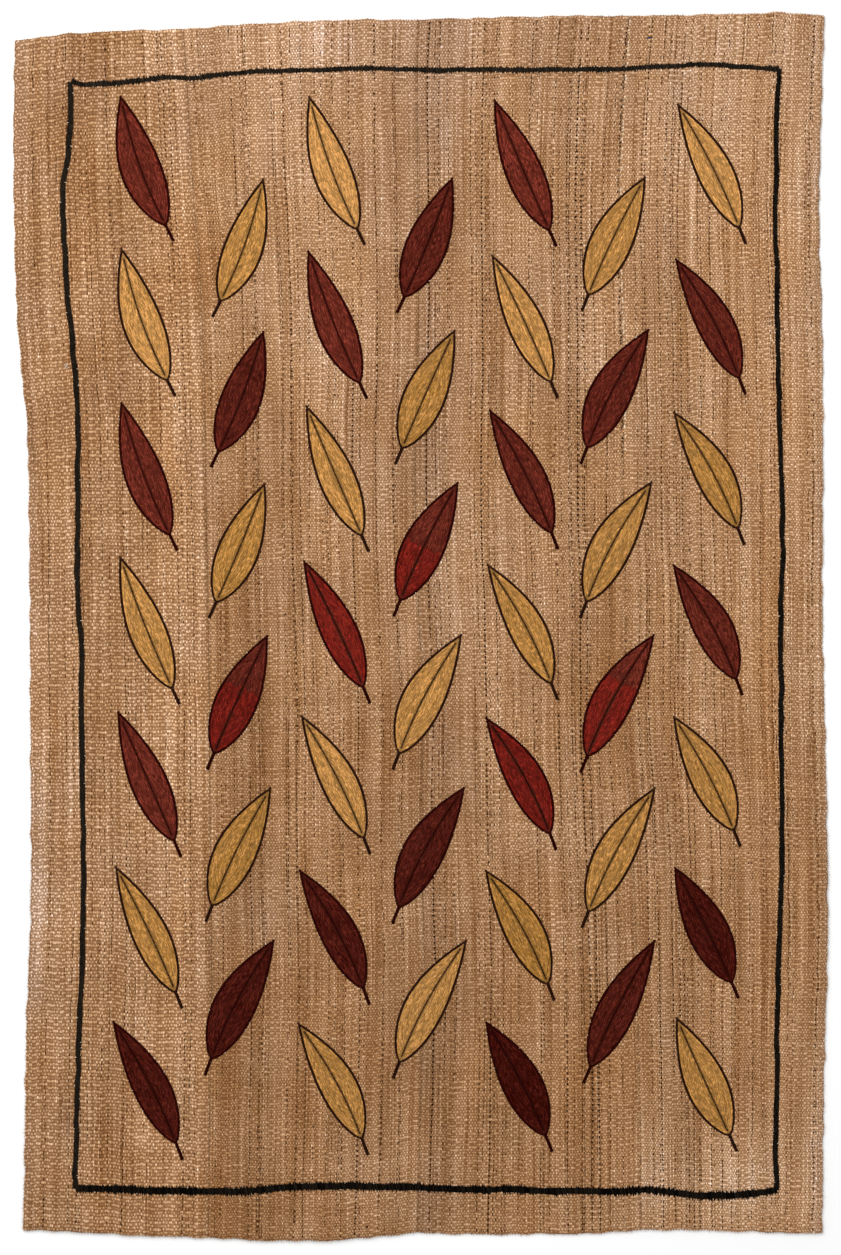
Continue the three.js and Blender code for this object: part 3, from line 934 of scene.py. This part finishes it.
# Small marks on the cloth: a dropped stitch of navy yarn, dark flecks, a red fleck, a tuft of loose ends
marks = [
    # x, y, length, width, angle in degrees, yarn
    (0.482, 1.242, 0.018, 0.0036, 6, "navy"), (0.482, 1.246, 0.014, 0.0026, 4, "gold"),
    (0.161, -0.099, 0.006, 0.0050, 40, "dark"), (-0.113, -1.265, 0.007, 0.0050, 20, "dark"),
    (0.402, 0.831, 0.008, 0.0050, 30, "red"), (0.398, 0.828, 0.006, 0.0040, 110, "red"),
]
markLook = {"rise": 0.0010, "dye": 0.3}
markYarns = {"navy": Stitching(), "gold": fills["gold"], "dark": darkYarn, "red": fills["red"]}
for x, y, length, width, angle, yarn in marks:
    markYarns[yarn].strands(np.array([[x, y]]), np.array([math.radians(angle)]), length, width, **markLook)
tuft = {
    "place": (-0.748, 0.552), "ends": 14, "scatter": 0.003, "length": (0.006, 0.012), "dye": (0.3, 1.0),
    "yarn": {"width": 0.0016, "rise": 0.0016},
}
ends = tuft["ends"]
angle = chance.uniform(0, math.pi, ends)
place = np.array([tuft["place"]]) + chance.normal(0, tuft["scatter"], (ends, 2))
paleYarn.strands(place, angle, chance.uniform(*tuft["length"], ends), dye=chance.uniform(*tuft["dye"], ends),
                 **tuft["yarn"])
markYarns["navy"].finish("navy_mark", yarns["navy"], "black_wool")
fills["red"].finish("red_leaves", yarns["red"], "red_wool")
fills["bright"].finish("bright_red_stitches", yarns["bright"], "red_wool")
fills["gold"].finish("gold_leaves", yarns["gold"], "gold_wool")
darkYarn.finish("dark_warps", yarns["dark"], "brown_wool")


# Sewing that joins the strips
joins = {
    "strip_left": {"pitch": 0.0072, "dye": 0.40, "spread": 0.14},
    "strip_mid_left": {"pitch": 0.0068, "dye": 0.36, "spread": 0.22},
    "strip_mid_right": {"pitch": 0.0064, "dye": 0.50, "spread": 0.40},
}
sewing = {
    "jitter": 0.15, "slant": -0.95, "sway": 0.12, "length": (0.0062, 0.0082), "reach": 0.0013,
    "yarn": {"width": 0.0026, "rise": 0.0009, "base": 0.0026},
    # painted shade: a dark strip of cloth yarn under the seam stands for the shade in the gap between strips
    "ground": {"height": 0.0022, "shade": 0.5, "dye": 0.2},
}
# Beside the third join, towards the top, a dark dot on one side and a pale one on the other
dots = {
    "above": 0.35, "aside": 0.0032, "scatter": 0.0009, "shown": 0.5, "sway": 0.4, "dark": 0.02, "pale": 0.95,
    "yarn": {"length": 0.0062, "width": 0.0032, "rise": 0.0010, "base": 0.0030, "unevenness": 0.2},
}


def dotJoin(place):
    place = place[place[:, 1] > dots["above"]]
    for side, dye, yarn in ((-1, dots["dark"], clothYarn), (1, dots["pale"], paleYarn)):
        beside = place + side * np.array([dots["aside"], 0]) + chance.normal(0, dots["scatter"], place.shape)
        shown = (chance.uniform(0, 1, len(beside)) < dots["shown"]) & clearOfLeaves(beside)
        angle = chance.normal(math.pi / 2, dots["sway"], shown.sum())
        yarn.strands(beside[shown], angle, dye=dye, **dots["yarn"])


for node, join in joins.items():
    line = alongSide(strips[node]["sides"]["right"], np.linspace(0.003, 0.997, 300))
    place, angle = pointsEvery(line, join["pitch"], sewing["jitter"])
    count = len(place)
    left, right = besideLine(line, sewing["reach"]), besideLine(line, -sewing["reach"])
    # painted shade under the seam, in the gap between strips
    clothYarn.ground(left, right, **sewing["ground"])
    angle = angle + sewing["slant"] + chance.normal(0, sewing["sway"], count)
    length = chance.uniform(*sewing["length"], count)
    dye = (join["dye"] + join["spread"] * chance.uniform(-1, 1, count)).clip(0, 1)
    clothYarn.strands(place, angle, length, dye=dye, **sewing["yarn"])
    if node == "strip_mid_right":
        dotJoin(place)


# The yarns' turns along the rug's edges, and hairs
edges = [("strip_left", "left", 0.0035), ("strip_right", "right", 0.0027)]
edges += [(node, side, 0.0029) for node in weaves for side in ("top", "bottom")]
turns = {
    "jitter": 0.12, "out": 0.0009, "scatter": 0.0003, "within": 0.42, "sway": 0.12, "dye": 0.5, "spread": 0.3,
    "yarn": {"length": 0.0064, "width": 0.0034, "rise": 0.0017, "base": 0.0014},
}
hairs = {
    "perTurn": 2, "out": (0.001, 0.0045), "turn": 1.6, "length": (0.003, 0.009), "bow": 0.0008,
    "yarn": {"width": 0.0004, "rise": 0.0003, "base": 0.0012, "dye": 0.95, "unevenness": 0.1},
}
for node, side, pitch in edges:
    line = alongSide(strips[node]["sides"][side], np.linspace(0, 1, 400))
    away = 1 if side in ("left", "top") else -1
    place, angle = pointsEvery(line, 2 * pitch, turns["jitter"])
    count = len(place)
    normal = np.column_stack([-np.sin(angle), np.cos(angle)]) * away
    out = turns["out"] - turns["yarn"]["length"] * turns["within"] + chance.normal(0, turns["scatter"], count)
    place = place + normal * out[:, None]
    turned = angle + math.pi / 2 + chance.normal(0, turns["sway"], count)
    dye = turns["dye"] + chance.uniform(-turns["spread"], turns["spread"], count)
    clothYarn.strands(place, turned, dye=dye, **turns["yarn"])
    count = hairs["perTurn"] * count
    picked = chance.integers(0, len(place), count)
    start = place[picked] + normal[picked] * chance.uniform(*hairs["out"], count)[:, None]
    angle = angle[picked] + chance.uniform(-hairs["turn"], hairs["turn"], count)
    length = chance.uniform(*hairs["length"], count)
    paleYarn.strands(start, angle, length, bow=chance.normal(0, hairs["bow"], count), **hairs["yarn"])
clothYarn.finish("sewn_and_floating_yarns", yarns["cloth"], "cloth")
paleYarn.finish("pale_flecks", yarns["pale"], "cloth")


# Floor, light and camera
ground = {"half": 9, "level": -0.0004, "colour": (0.93, 0.93, 0.93, 1), "roughness": 0.9}
corners = np.array([(-1, -1, 0), (1, -1, 0), (1, 1, 0), (-1, 1, 0)]) * ground["half"]
corners = corners + [0, 0, ground["level"]]
floor = makeMesh("floor", corners, [[(0, 1, 2, 3)]])
floorMaterial, _, floorShader = newMaterial("white_floor")
floorShader.inputs["Base Color"].default_value = ground["colour"]
floorShader.inputs["Roughness"].default_value = ground["roughness"]
floor.data.materials.append(floorMaterial)

studio = {"sky": 0.80, "lampPower": 150, "lampSize": 3.5, "lampPlace": (-1.6, 2.6, 3.6)}
world = bpy.data.worlds.new("studio")
bpy.context.scene.world = world
world.use_nodes = True
world.node_tree.nodes["Background"].inputs[0].default_value = (1, 1, 1, 1)
world.node_tree.nodes["Background"].inputs[1].default_value = studio["sky"]
lamp = bpy.data.objects.new("lamp", bpy.data.lights.new("lamp", "AREA"))
lamp.data.energy = studio["lampPower"]
lamp.data.size = studio["lampSize"]
lamp.location = studio["lampPlace"]
lamp.rotation_euler = (-lamp.location).to_track_quat("-Z", "Y").to_euler()
bpy.context.scene.collection.objects.link(lamp)

view = {"height": 12.0, "pixel": 0.002109, "tall": 1255, "sensor": 36, "below": 0.00105, "end": 60}
camera = bpy.data.objects.new("camera", bpy.data.cameras.new("camera"))
camera.data.sensor_width = view["sensor"]
camera.data.lens = view["sensor"] * view["height"] / (view["pixel"] * view["tall"])
camera.location = (0, -view["below"], view["height"])
camera.data.clip_end = view["end"]
bpy.context.scene.collection.objects.link(camera)
bpy.context.scene.camera = camera
bpy.context.scene.view_settings.view_transform = "Standard"
bpy.context.scene.view_settings.look = "None"
print("stage set")
